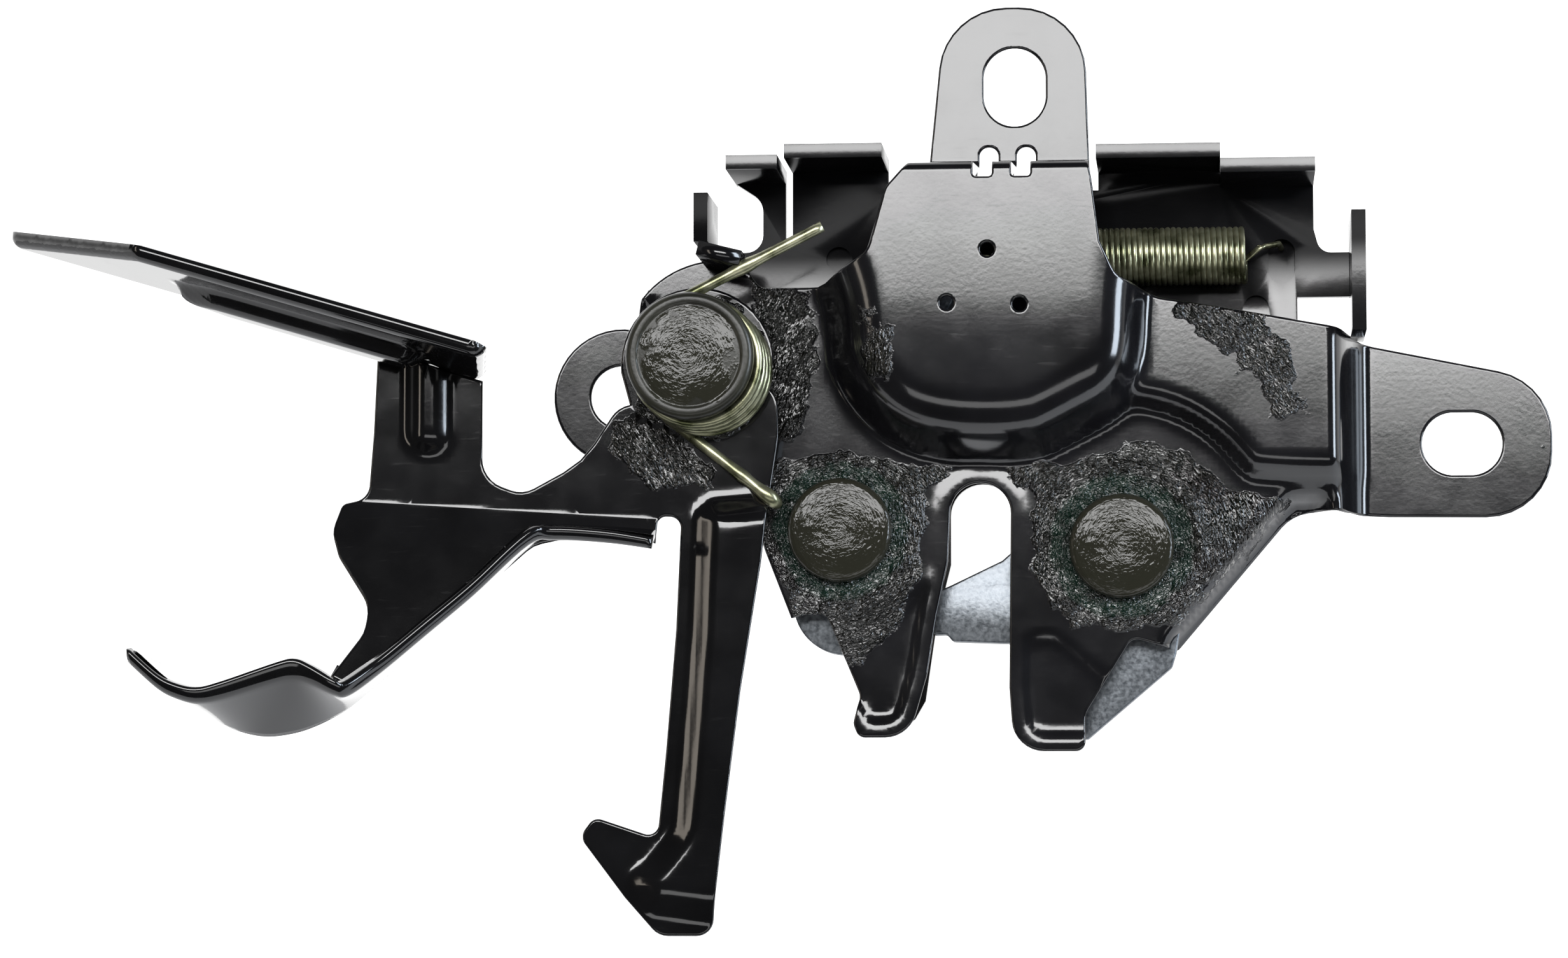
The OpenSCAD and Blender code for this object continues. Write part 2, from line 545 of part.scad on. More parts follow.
front_plate();
back_plate();
claw();
pawl();
claw_rivet();
pawl_rivet();
safety_lever();
lever_rivet();
lever_spring();
pawl_spring();
claw_spring();
claw_spring_post();
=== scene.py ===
import math
import bmesh
import bpy
import numpy as np
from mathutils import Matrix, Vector


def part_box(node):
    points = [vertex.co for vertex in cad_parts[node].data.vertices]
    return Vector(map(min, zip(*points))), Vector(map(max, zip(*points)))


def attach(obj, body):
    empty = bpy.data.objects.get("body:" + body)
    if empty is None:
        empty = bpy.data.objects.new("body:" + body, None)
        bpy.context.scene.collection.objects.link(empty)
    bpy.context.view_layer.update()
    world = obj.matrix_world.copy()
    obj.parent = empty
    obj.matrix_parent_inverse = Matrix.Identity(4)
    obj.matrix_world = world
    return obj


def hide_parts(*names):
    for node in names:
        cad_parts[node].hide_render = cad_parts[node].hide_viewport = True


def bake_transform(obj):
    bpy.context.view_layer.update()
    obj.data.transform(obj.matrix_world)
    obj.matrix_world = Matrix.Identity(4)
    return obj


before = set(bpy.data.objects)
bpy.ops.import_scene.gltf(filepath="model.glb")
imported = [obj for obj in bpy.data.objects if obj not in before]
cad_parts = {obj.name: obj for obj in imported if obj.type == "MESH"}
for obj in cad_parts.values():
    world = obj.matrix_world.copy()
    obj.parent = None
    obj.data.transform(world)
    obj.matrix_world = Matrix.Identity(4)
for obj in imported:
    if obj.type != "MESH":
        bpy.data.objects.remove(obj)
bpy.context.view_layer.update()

# Front plate: one pressing of 2 mm steel sheet with three ears, pan, dome, box and two legs round the striker slot.
# It is blanked, pressed and dipped in black coat, and the claw's and the pawl's rivets hold it to the back plate.
# Here a flat blank is pressed by a height map, in millimetres, and grease is brushed on round the rivets.
sheet = 2
cut_round = 0.35
seat_front = -11
claw_pin, pawl_pin, lever_pin = (20, -4), (-20, -1.5), (-40, 22)

def arc(centre, radius, angles):
    """Points round a centre at angles in radians, at one radius or at a list of them."""
    return [(centre[0] + r * math.cos(a), centre[1] + r * math.sin(a)) for r, a in np.broadcast(radius, angles)]

def rounded(points, closed=True):
    """Outline points [x, z] or [x, z, corner radius], with the corners turned into arcs."""
    out = []
    n = len(points)
    for i, p in enumerate(points):
        if len(p) == 2 or (not closed and i in (0, n - 1)):
            out.append((p[0], p[1]))
            continue
        corner = Vector(p[:2])
        u = Vector(points[i - 1][:2]) - corner
        w = Vector(points[(i + 1) % n][:2]) - corner
        half = u.angle(w) / 2
        cut = min(p[2] / math.tan(half), 0.48 * u.length, 0.48 * w.length)
        r = cut * math.tan(half)
        u.normalize()
        w.normalize()
        centre = corner + (u + w).normalized() * (r / math.sin(half))
        first = corner + u * cut - centre
        last = corner + w * cut - centre
        turn = -first.angle_signed(last)
        steps = max(2, int(abs(turn) / 0.18))
        start = math.atan2(first.y, first.x)
        out += arc(centre, r, [start + turn * k / steps for k in range(steps + 1)])
    return out

def arch(x, z, w, l, upright):
    """Outline of a slotted hole, or of a round one where its width and length are the same."""
    out = []
    n = 4 * max(4, int(1.2 * w))
    s = (l - w) / 2
    for k in range(n):
        a = 2 * math.pi * (k + 0.5) / n
        out.append((x + w / 2 * math.cos(a) + (0 if upright else math.copysign(s, math.cos(a))),
                    z + w / 2 * math.sin(a) + (math.copysign(s, math.sin(a)) if upright else 0)))
    return out

def softened(points, times):
    """Cuts the corners off an outline again and again until it is smooth."""
    for _ in range(times):
        points = [(near * a[0] + (1 - near) * b[0], near * a[1] + (1 - near) * b[1])
                  for a, b in zip(points, points[1:] + points[:1]) for near in (0.75, 0.25)]
    return points

def edge_distance(x, z, line, closed=True):
    """Distance from each point to a line of points, and whether the point is inside it."""
    a = np.array(line)
    b = np.roll(a, -1, axis=0)
    if not closed:
        a, b = a[:-1], b[:-1]
    best = np.full(x.shape, 1e9)
    inside = np.zeros(x.shape, bool)
    for (ax, az), (bx, bz) in zip(a, b):
        dx, dz = bx - ax, bz - az
        t = np.clip(((x - ax) * dx + (z - az) * dz) / (dx * dx + dz * dz + 1e-12), 0, 1)
        best = np.minimum(best, np.hypot(x - ax - t * dx, z - az - t * dz))
        if closed and az != bz:
            inside ^= ((az > z) != (bz > z)) & (x < (bx - ax) * (z - az) / (bz - az) + ax)
    return best, inside

def depth_in(x, z, line):
    """Distance inside a closed outline, negative outside it."""
    best, inside = edge_distance(x, z, line)
    return np.where(inside, best, -best)

def rise(d, height, angle, foot, top):
    """Height of a pressed wall at distance d from its foot: foot radius, wall at an angle, top radius."""
    a = math.radians(angle)
    s, c = math.sin(a), 1 - math.cos(a)
    fit = np.minimum(1.0, height / ((foot + top) * c))
    foot, top = foot * fit, top * fit
    wall_from = foot * s
    wall_to = wall_from + (height - (foot + top) * c) / math.tan(a)
    end = wall_to + top * s
    d = np.clip(d, 0, end)
    low = foot - np.sqrt(np.maximum(foot ** 2 - np.minimum(d, wall_from) ** 2, 0))
    wall = foot * c + (d - wall_from) * math.tan(a)
    high = height - top + np.sqrt(np.maximum(top ** 2 - (end - np.maximum(d, wall_to)) ** 2, 0))
    return np.where(d < wall_from, low, np.where(d < wall_to, wall, high))

def soft_max(a, b, k):
    """The higher of two height maps, with a fillet of about k where they meet."""
    h = np.clip(0.5 + 0.5 * (b - a) / k, 0, 1)
    return a * (1 - h) + b * h + k * h * (1 - h)

def from_edges(bm, loops):
    """Distance of every point of a flat sheet from its nearest cut edge."""
    x, z = np.array([(v.co.x, v.co.z) for v in bm.verts]).T
    return np.min([edge_distance(x, z, loop)[0] for loop in loops], axis=0)

def score(bm, point, normal):
    """Cuts a line of points right across a sheet, so that it can bend there."""
    bmesh.ops.bisect_plane(bm, geom=bm.verts[:] + bm.edges[:] + bm.faces[:], dist=1e-5,
                           plane_co=point, plane_no=normal)

def blank(bm, loops, step, edge):
    """Flat sheet inside the first loop and outside the others: narrow bands along the edges, squares between."""
    seams = []
    for i, loop in enumerate(loops):
        p = np.array(loop)
        along = np.roll(p, -1, axis=0) - p
        along /= np.hypot(along[:, 0], along[:, 1])[:, None]
        left = np.stack([-along[:, 1], along[:, 0]], axis=1)
        before = np.roll(left, 1, axis=0)
        mitre = (left + before) / np.maximum(1 + (left * before).sum(axis=1), 0.4)[:, None]
        area = (p[:, 0] * np.roll(p[:, 1], -1) - p[:, 1] * np.roll(p[:, 0], -1)).sum()
        inward = mitre * (1 if (area > 0) == (i == 0) else -1)
        rings = [[bm.verts.new((x, 0, z)) for x, z in p + inward * d]
                 for d in (0, 0.12 * edge, 0.45 * edge, edge, edge + 0.12)]
        for a, b in zip(rings, rings[1:]):
            for k in range(len(p)):
                bm.faces.new((a[k - 1], a[k], b[k], b[k - 1]))
        seams += [bm.edges.get((rings[-1][k - 1], rings[-1][k])) for k in range(len(p))]
    bmesh.ops.triangle_fill(bm, use_beauty=True, edges=seams, normal=(0, -1, 0))
    bmesh.ops.recalc_face_normals(bm, faces=bm.faces[:])
    if sum(f.normal.y * f.calc_area() for f in bm.faces) > 0:
        bmesh.ops.reverse_faces(bm, faces=bm.faces[:])
    for axis in (0, 2):
        values = [p[axis // 2] for p in loops[0]]
        k = math.ceil(min(values) / step)
        while k * step < max(values):
            point, normal = [0, 0, 0], [0, 0, 0]
            point[axis], normal[axis] = k * step + 0.013, 1
            score(bm, point, normal)
            k += 1
    deep = {v for v, d in zip(bm.verts, from_edges(bm, loops)) if d > edge + 0.13}
    slant = [e for e in bm.edges if e.verts[0] in deep and e.verts[1] in deep
             and abs(e.verts[0].co.x - e.verts[1].co.x) > 1e-4 and abs(e.verts[0].co.z - e.verts[1].co.z) > 1e-4]
    bmesh.ops.dissolve_edges(bm, edges=slant, use_verts=False)
    bmesh.ops.dissolve_verts(bm, verts=[v for v in bm.verts if len(v.link_edges) == 2 and not v.is_boundary])

def press(bm, loops, edge, height):
    """Moves a flat sheet's points to the height map's depth along Y, and rounds its cut edges over."""
    x, z = np.array([(v.co.x, v.co.z) for v in bm.verts]).T
    over = np.maximum(edge - from_edges(bm, loops), 0)
    for v, y in zip(bm.verts, height(x, z) + edge - np.sqrt(np.maximum(edge ** 2 - over ** 2, 0))):
        v.co.y = y

def in_metres(bm, name):
    """The finished object of a shape that was made in millimetres."""
    bmesh.ops.scale(bm, vec=(0.001, 0.001, 0.001), verts=bm.verts[:])
    me = bpy.data.meshes.new(name)
    bm.to_mesh(me)
    bm.free()
    me.shade_smooth()
    obj = bpy.data.objects.new(name, me)
    bpy.context.collection.objects.link(obj)
    return obj

def finish_sheet(bm, name):
    """Gives a pressed sheet its thickness, behind the face that was pressed."""
    obj = in_metres(bm, name)
    wall = obj.modifiers.new("thickness", "SOLIDIFY")
    wall.thickness = sheet / 1000
    wall.offset = -1
    return obj

def greased(obj, patches):
    """Marks where grease lies and which way it was brushed: in rings [x, z, inner radius, outer radius, within]
    with so many strokes round, or over areas at an angle in degrees, each with its strength."""
    me = obj.data
    co = np.array([v.co for v in me.vertices]) * 1000
    x, z = co[:, 0], co[:, 2]
    amount = np.zeros(len(co))
    along = np.zeros((len(co), 3))
    for kind, shape, stroke, strength in patches:
        if kind == "ring":
            cx, cz, inner, outer, within = shape
            r = np.hypot(x - cx, z - cz)
            inset = np.minimum(np.minimum(r - inner, outer - r), depth_in(x, z, within))
            a = np.arctan2(z - cz, x - cx)
            brushed = np.stack([stroke * np.cos(a), r, stroke * np.sin(a)], axis=1)
        else:
            inset = depth_in(x, z, shape)
            c, s = math.cos(math.radians(stroke)), math.sin(math.radians(stroke))
            brushed = np.stack([x * c + z * s, z * c - x * s, np.full_like(x, stroke)], axis=1)
        thick = np.clip(inset / 3.0, 0, 1) * strength
        over = thick > amount
        amount[over] = thick[over]
        along[over] = brushed[over]
    me.attributes.new("grease", "FLOAT", "POINT").data.foreach_set("value", amount)
    me.attributes.new("stroke", "FLOAT_VECTOR", "POINT").data.foreach_set("vector", along.ravel())

slot_edge = ([(-17.4, -31, 1.4), (-10.2, -31, 5.5), (-7.6, -22), (-6.3, -14), (-4.6, -6)]
             + arc((0, 0.8), 4.3, np.linspace(math.pi, 0, 25)) + [(4, -24), (4.6, -33, 7.5)])
front_outline = rounded(
    [(-33.5, 4, 6), (-30.9, -4, 20), (-27, -14), (-25, -13.5, 0.6), (-22, -13.5, 1.2), (-17.2, -25, 2),
     (-18.2, -29, 1.5)] + slot_edge
    + [(14.8, -33, 1.4), (14.7, -27.8, 3), (21.4, -17, 1.5), (27.7, -18.7, 1), (44.6, 1.2, 6), (58, 0.6),
       (81.2, 0.4, 9.6), (81.4, 20, 9.4), (56, 25.2, 2), (50.5, 26.6, 1.5), (37.3, 29), (25.5, 31, 2),
       (19.6, 33.4, 3), (17.4, 38), (16.4, 46), (15.5, 51.5, 2), (14.8, 75.4, 9.8), (-5.4, 75.4, 9.8),
       (-7.8, 51.5, 2), (-12.8, 46, 2), (-15.4, 37, 3), (-21.8, 33.4, 5), (-31.5, 33.4, 2), (-33.6, 36.4, 1)]
    + arc(lever_pin, np.linspace(15.6, 13, 12), np.radians(np.linspace(84, 134, 12)))
    + arc((-52.5, 18.9), 10, np.radians(np.arange(80, 290, 8))) + [(-46, 8.6, 3)])
ear_holes = [arch(4.7, 63.6, 9, 11.4, True), arch(68.5, 11.1, 9, 11.4, False), arch(-52.5, 18.9, 9, 9, True)]
strap_slots = [rounded([(left, 47.4, 0.5), (right, 47.4, 0.5), (right, 54.8, 1.3), (left, 54.8, 1.3)])
               for left, right in ((-0.4, 2.3), (5, 7.7))]
dome_holes = [arch(x, z, 1.9, 1.9, True) for x, z in ((1.6, 37), (-4.1, 29.5), (6.1, 29.2))]
front_loops = [front_outline] + ear_holes + strap_slots + dome_holes
dome_foot = softened([(-30, 95), (-30, 48), (-27.5, 37), (-24, 30), (-23.5, 20), (-17.5, 11), (-8, 6), (8, 5.6),
                      (15, 9), (22.5, 13), (27, 20), (27.5, 33), (30, 48), (30, 95)], 4)
box_foot = softened([(8, 46), (48, 44), (75, 44), (75, 2.6), (38.4, 2.6), (35.2, 5), (31.6, 9.4), (26.4, 12.6),
                     (20, 13.8), (8, 14)], 3)
leg_foot = rounded([(6.7, -15.5, 2), (16.5, -24), (26, -36), (8.4, -40), (8, -29, 3)])
rim_line = rounded([(-19, -28)] + slot_edge + [(15, -33)], closed=False)
leg_flange = [(28.5, -18.2), (44.6, 1.0), (50, 1.2)]

def front_height(x, z):
    """Depth of the front plate's face: everything is pressed forward or back from the rivets' seats."""
    dome_h = 13 - 0.0017 * np.maximum(31 - z, 0) ** 2 - 0.012 * np.maximum(-9 - x, 0) ** 2
    dome = rise(depth_in(x, z, dome_foot), dome_h, angle=68, foot=2.6, top=6.5)
    box = rise(depth_in(x, z, box_foot), 5 + 0.009 * (15 - z), angle=56, foot=2.2, top=2.6)
    # The pan stands a little proud of the rivets' seats and of both legs, and a raised rim runs round the slot
    pan = np.ones_like(x)
    for cx, cz in (claw_pin, pawl_pin):
        pan = np.minimum(pan, rise(np.hypot(x - cx, z - cz) - 8, 1.0, angle=30, foot=0.8, top=1.0))
    left_step = (x + 18.2) * -0.66 + (z + 19.1) * 0.75 + 1.4
    pan = np.where(x < -4, np.minimum(pan, rise(left_step, 1.0, angle=28, foot=1.2, top=1.2)), pan)
    right_step = -depth_in(x, z, leg_foot)
    pan = np.where(x > 4, np.minimum(pan, rise(right_step, 1.0, angle=28, foot=1.2, top=1.2)), pan)
    rim_side = edge_distance(x, z, rim_line, closed=False)[0] - 1.7
    rim = np.where(z < 9, 1.3 - rise(rim_side, 1.3, angle=50, foot=0.7, top=0.7), 0)
    f = soft_max(soft_max(dome, box, 2.2), soft_max(pan, rim, 0.3), 0.6)
    ridge = np.clip(1 - np.abs(np.hypot(x - claw_pin[0], z - claw_pin[1]) - 11.2) / 1.4, 0, 1)
    f += np.where((x > 27) & (z < 6.5) & (z > -6), 0.8 * ridge ** 2, 0)
    # A shelf runs from the dome's face back to the top ear, and walls run back to the side ears
    f = np.minimum(f, 13 - rise(z - 48.2, 22, angle=84, foot=1.4, top=1.4))
    wall = rise(x - 48.6, 14, angle=76, foot=2.6, top=2.2) / 14
    f = f * (1 - wall) - (8.7 - 0.02 * (10 - z)) * wall
    wall = rise(-45.6 - x, 9, angle=76, foot=2, top=2) / 9 * np.clip((32 - z) / 2.5, 0, 1)
    f = f * (1 - wall) - 9 * wall
    # A flange is turned back along the right leg's slanting edge
    flange_side = 3.6 - edge_distance(x, z, leg_flange, closed=False)[0]
    flange = rise(flange_side, 7, angle=78, foot=1.5, top=1.6) * np.clip((50 - x) / 3, 0, 1)
    f -= np.where(x < 50, flange, 0)
    return seat_front - f

bm = bmesh.new()
blank(bm, front_loops, 0.8, cut_round)
for z in np.arange(47.91, 53.5, 0.2):
    score(bm, (0, 0, z), (0, 0, 1))
press(bm, front_loops, cut_round, front_height)
# The tab that stops the lever's spring stands forward from the pan's top edge
tab_tilt = math.radians(-14)
bm.faces.new([bm.verts.new((-35.8 + a * math.cos(tab_tilt), y, 37.7 + a * math.sin(tab_tilt)))
              for a, y in ((-3.1, -10), (-3.1, -25.9), (3.1, -25.9), (3.1, -10))])
front = finish_sheet(bm, "front_plate_pressing")
greased_pan = [(-33, 9), (-20, 11), (-9, 8.6), (0, 9), (12, 9), (22, 12), (30, 10.5), (36, 5.5), (46, 3),
               (28, -17), (21, -17), (12, -16.5), (6.2, -10), (6.2, 3), (0, 8), (-6.2, 3), (-7.6, -9),
               (-11, -17), (-20, -24), (-28, -14), (-33, 0)]
greased(front, [
    ("ring", (*claw_pin, 3, 26, greased_pan), 16, 1), ("ring", (*pawl_pin, 3, 22, greased_pan), 16, 1),
    ("ring", (*claw_pin, 3, 13, greased_pan), 16, 1.4), ("ring", (*pawl_pin, 3, 12.5, greased_pan), 16, 1.4),
    ("area", [(-34, 36), (-23, 34), (-22, 22), (-25, 10), (-33, 10)], 60, 1),
    ("area", [(25, 31.5), (41, 31.5), (45, 25), (48, 13), (40, 12), (38, 18), (27, 27)], -50, 0.85),
    ("area", [(-18.5, 31), (-11, 31), (-9, 21), (-12, 16), (-18.5, 19)], 80, 0.6)])

def feed(tree, target, inputs):
    """Sets each named input of a shader node, or links it from another node's output."""
    for socket, value in inputs.items():
        if isinstance(value, bpy.types.NodeSocket):
            tree.links.new(value, target.inputs[socket])
        else:
            target.inputs[socket].default_value = value

def node(tree, kind, inputs, **settings):
    """A new shader node with its settings and inputs."""
    made = tree.nodes.new(kind)
    for name, value in settings.items():
        setattr(made, name, value)
    feed(tree, made, inputs)
    return made

def object_place(tree):
    return node(tree, "ShaderNodeTexCoord", {}).outputs["Object"]

def noise(tree, vector, scale, detail, distortion=0.0):
    return node(tree, "ShaderNodeTexNoise", {"Vector": vector, "Scale": scale, "Detail": detail,
                                             "Distortion": distortion}).outputs["Fac"]

def stretched(tree, vector, scale):
    return node(tree, "ShaderNodeMapping", {"Vector": vector, "Scale": scale}).outputs["Vector"]

def between(tree, value, low, high, to_low, to_high, ease="SMOOTHSTEP"):
    """Maps low..high onto to_low..to_high."""
    return node(tree, "ShaderNodeMapRange", {"Value": value, "From Min": low, "From Max": high, "To Min": to_low,
                                             "To Max": to_high}, interpolation_type=ease).outputs["Result"]

def maths(tree, operation, a, b):
    return node(tree, "ShaderNodeMath", {0: a, 1: b}, operation=operation).outputs["Value"]

def mixed(tree, factor, a, b, data_type="RGBA"):
    return node(tree, "ShaderNodeMix", {"Factor": factor, "A": a, "B": b}, data_type=data_type).outputs["Result"]

def coated(name, dark, light, grease, rough, peel, brush=1.0):
    """Black dip coat: soft mottle, orange peel, fine scratches, and wet brushed grease where a piece is marked."""
    mat = bpy.data.materials.new(name)
    mat.use_nodes = True
    tree = mat.node_tree
    where = object_place(tree)
    marked = node(tree, "ShaderNodeAttribute", {}, attribute_name="grease").outputs["Fac"]
    stroke = node(tree, "ShaderNodeAttribute", {}, attribute_name="stroke").outputs["Vector"]
    ragged = maths(tree, "MULTIPLY", maths(tree, "SUBTRACT", noise(tree, where, 330, 5), 0.5), 1.6)
    wet = between(tree, maths(tree, "ADD", marked, ragged), 0.42, 0.62, 0.0, 1.0)
    ridges = noise(tree, stretched(tree, stroke, (0.9, 2.9, 0.9)), 1.0, 1, 0.7)
    clots = between(tree, noise(tree, stretched(tree, stroke, (0.25, 0.4, 0.25)), 1.0, 2), 0.35, 0.65, 0.35, 1.0)
    brushed = maths(tree, "MULTIPLY", wet, maths(tree, "MULTIPLY", ridges, clots))
    # Grease looks green where it lies thick
    heaped = maths(tree, "ADD", marked, maths(tree, "MULTIPLY", noise(tree, where, 500, 3), 0.8))
    film = mixed(tree, between(tree, heaped, 1.5, 1.9, 0.0, 1.0), (*grease, 1), (0.004, 0.012, 0.008, 1))
    tint = mixed(tree, between(tree, noise(tree, where, 70, 4), 0.35, 0.7, 0.0, 1.0), (*dark, 1), (*light, 1))
    scratch = between(tree, noise(tree, stretched(tree, where, (260, 260, 2600)), 1.0, 3, 0.4), 0.62, 0.72, 0.0, 0.03)
    dull = between(tree, noise(tree, where, 190, 4), 0.3, 0.7, rough - 0.015, rough + 0.015)
    skin = node(tree, "ShaderNodeBump", {"Strength": peel, "Distance": 0.0001, "Height": noise(tree, where, 1500, 2)})
    smear = node(tree, "ShaderNodeBump", {"Strength": brush, "Distance": 0.0008, "Height": brushed,
                                          "Normal": skin.outputs["Normal"]})
    feed(tree, tree.nodes["Principled BSDF"], {
        "Base Color": mixed(tree, wet, tint, film),
        "Roughness": mixed(tree, wet, maths(tree, "ADD", dull, scratch), 0.085, "FLOAT"),
        "Normal": smear.outputs["Normal"]})
    return mat

dark_grease = (0.003, 0.003, 0.0026)
front.data.materials.append(coated("black_coat", dark=(0.003, 0.003, 0.0035), light=(0.006, 0.006, 0.007),
                                   grease=dark_grease, rough=0.13, peel=0.05))
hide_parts("front_plate")
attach(front, "housing")

# Back plate: a second pressing of 2 mm sheet behind the claw and pawl, with flanges turned forward along its top.
# It is dipped in the same black coat. The coat's reflection is turned down in the pocket behind the dome as painted
# shade, but kept on the flanges' edges. Its cut edges are left square with only the burr broken.
def broken_edges(piece, width, segments):
    """Joins a CAD node's loose triangles into flat faces and breaks the sharp edges between them."""
    weld = piece.modifiers.new("weld", "WELD")
    weld.merge_threshold = 1e-6
    flat = piece.modifiers.new("flat", "DECIMATE")
    flat.decimate_type = "DISSOLVE"
    flat.angle_limit = math.radians(1)
    cut = piece.modifiers.new("cut edge", "BEVEL")
    cut.width = width
    cut.segments = segments
    cut.limit_method = "ANGLE"
    piece.data.shade_smooth()

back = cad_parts["back_plate"]
back_coat = coated("back_coat", dark=(0.003, 0.003, 0.0032), light=(0.005, 0.005, 0.0055),
                   grease=dark_grease, rough=0.16, peel=0.05)
tree = back_coat.node_tree
place = node(tree, "ShaderNodeSeparateXYZ", {"Vector": object_place(tree)}).outputs
# Painted shade: above 32 mm the coat's specular falls almost to nothing, so the pocket under the flanges looks shaded;
# the flanges' edges keep the full specular
pocket_painted_shade = between(tree, place["Z"], 0.032, 0.039, 0.5, 0.03)
flange_sheen = between(tree, place["Y"], -0.0195, -0.0185, 0.5, 0.0, "LINEAR")
feed(tree, tree.nodes["Principled BSDF"], {
    "Specular IOR Level": maths(tree, "MAXIMUM", pocket_painted_shade, flange_sheen)})
back.data.materials.clear()
back.data.materials.append(back_coat)
broken_edges(back, 0.0004, 3)

# Claw and pawl: hardened 4 mm plates, blanked and zinc plated, each turning on its own rivet between the plates.
# The plating is bright with a faint crystalline mottle. The post of the claw's spring is plated with them.
def plated(name, scale, detail, dark, light, spread, metal, rough):
    """Plated steel with a mottle of two tones: spread is where in the noise they lie, rough its two ends."""
    mat = bpy.data.materials.new(name)
    mat.use_nodes = True
    tree = mat.node_tree
    mottle = noise(tree, object_place(tree), scale, detail)
    tone = node(tree, "ShaderNodeValToRGB", {"Fac": mottle})
    for stop, colour, position in zip(tone.color_ramp.elements, (dark, light), spread):
        stop.color = (*colour, 1)
        stop.position = position
    feed(tree, tree.nodes["Principled BSDF"], {
        "Base Color": tone.outputs["Color"], "Metallic": metal,
        "Roughness": between(tree, mottle, 0.0, 1.0, *rough, "LINEAR")})
    return mat, mottle

zinc, crystals = plated("zinc_plate", 1800, 6, dark=(0.075, 0.083, 0.092), light=(0.17, 0.183, 0.197),
                        spread=(0.3, 0.7), metal=0.9, rough=(0.25, 0.5))
tree = zinc.node_tree
grain = node(tree, "ShaderNodeBump", {"Strength": 0.35, "Distance": 0.0001, "Height": crystals})
feed(tree, tree.nodes["Principled BSDF"], {"Normal": grain.outputs["Normal"]})
for title in ("claw", "pawl", "claw_spring_post"):
    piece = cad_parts[title]
    piece.data.materials.clear()
    piece.data.materials.append(zinc)
    broken_edges(piece, 0.0003, 2)

# Rivets: turned steel pins, headed at the front and peened over at the back, brushed all over with dark grease.
# The safety lever's rivet has a wide flat head with a turned ring in its face.
def turned(name, centre, profile):
    """A turned piece about an axis along Y, from a profile of [radius, y]."""
    bm = bmesh.new()
    verts = [bm.verts.new((r, y, 0)) for r, y in profile]
    for a, b in zip(verts, verts[1:]):
        bm.edges.new((a, b))
    bmesh.ops.spin(bm, geom=bm.verts[:] + bm.edges[:], cent=(0, 0, 0), axis=(0, 1, 0), angle=2 * math.pi,
                   steps=72, use_merge=True)
    bmesh.ops.remove_doubles(bm, verts=bm.verts[:], dist=1e-5)
    bmesh.ops.recalc_face_normals(bm, faces=bm.faces[:])
    bmesh.ops.translate(bm, vec=(centre[0], 0, centre[1]), verts=bm.verts[:])
    obj = in_metres(bm, name)
    cut = obj.modifiers.new("edge", "BEVEL")
    cut.width = 0.00025
    cut.segments = 2
    cut.limit_method = "ANGLE"
    return obj

greased_steel = coated("greased_steel", dark=(0.008, 0.008, 0.006), light=(0.02, 0.02, 0.015),
                       grease=(0.014, 0.0138, 0.0098), rough=0.3, peel=0.2, brush=0.16)
feed(greased_steel.node_tree, greased_steel.node_tree.nodes["Principled BSDF"], {"Specular IOR Level": 0.25})
head_r = 7.4
pin = [(0, -14), (2.5, -14), (head_r - 1.0, -14), (head_r - 0.3, -13.8), (head_r, -13.2), (head_r, -11), (4, -11),
       (4, -9), (5, -9), (5, -4.4), (4, -4.4), (4, -2.4), (6, -2.4), (6, -1.3), (4.6, -0.8), (0, -0.8)]
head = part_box("lever_rivet")[0][1] * 1000
lever_pin_profile = [
    (0, head + 0.1), (3, head + 0.1), (6.7, head + 0.1), (7.2, head + 0.25), (7.5, head), (8.3, head),
    (8.8, head + 0.35), (9, head + 0.8), (9, head + 2.6), (6, head + 2.6), (6, -14.3), (8, -14.45), (8, -11),
    (4, -11), (4, -9), (5, -9), (5, -7.8), (4.4, -7.4), (0, -7.4)]
for title, centre, profile, wet_width in (("claw_rivet", claw_pin, pin, 20), ("pawl_rivet", pawl_pin, pin, 20),
                                          ("lever_rivet", lever_pin, lever_pin_profile, 16.8)):
    rivet = turned(title + "_pin", centre, profile)
    greased(rivet, [("ring", (*centre, -4, 12, arch(*centre, wet_width, wet_width, True)), 6, 1)])
    rivet.data.materials.append(greased_steel)
    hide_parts(title)
    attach(rivet, "housing")

# Safety lever: one pressing of 2 mm sheet with a hook arm, an upper finger strip and a lower finger flap.
# It turns on the large rivet in front of the pan, and carries the same black coat.
lever_front = -16.6
lever_blank = rounded([
    (-28.6, 20, 4), (-28.4, 11.5, 8), (-29.7, 2.9), (-30.7, -6.3), (-33.6, -24.5), (-35.8, -41.8), (-37.8, -59, 2.5),
    (-45.4, -59, 3), (-50.2, -53.6, 6), (-56.7, -45, 1.8), (-54.6, -42.2, 1.6), (-45.6, -45.2, 1.5), (-44.4, -33),
    (-43, -15.8), (-42.3, 0.2, 1.6), (-45.6, 0.3, 1.2), (-45.8, -3.6), (-59.5, -2.8, 5), (-63.2, -3.6, 4),
    (-70.3, -10.2), (-82.8, -21.8), (-86.6, -24.9), (-91.2, -22.6), (-86.8, -16.4, 4), (-86.2, -12.6, 6),
    (-91, -5.4, 4), (-92.2, -1.6, 4), (-90.9, 2.4, 1.2), (-87.2, 3.2, 3), (-86.5, 12.6), (-86, 24.4), (-70.8, 19.9),
    (-70.8, 5.8, 4.5), (-65, 3.6, 4), (-56.5, 8.2, 12), (-51.4, 16, 4)])
lever_blank += arc(lever_pin, 11, np.radians(np.arange(186, 0, -8)))
bead = rounded([(-41.2, 1.2, 3), (-38.6, 3.6, 2), (-20, 4.8), (-20, -58.4), (-38.4, -58, 0.5), (-47.4, -56.8, 3),
                (-51.2, -50.4, 3), (-47.5, -47.6, 3), (-44.2, -43.5, 3), (-43.2, -33), (-41.9, -15.8)])
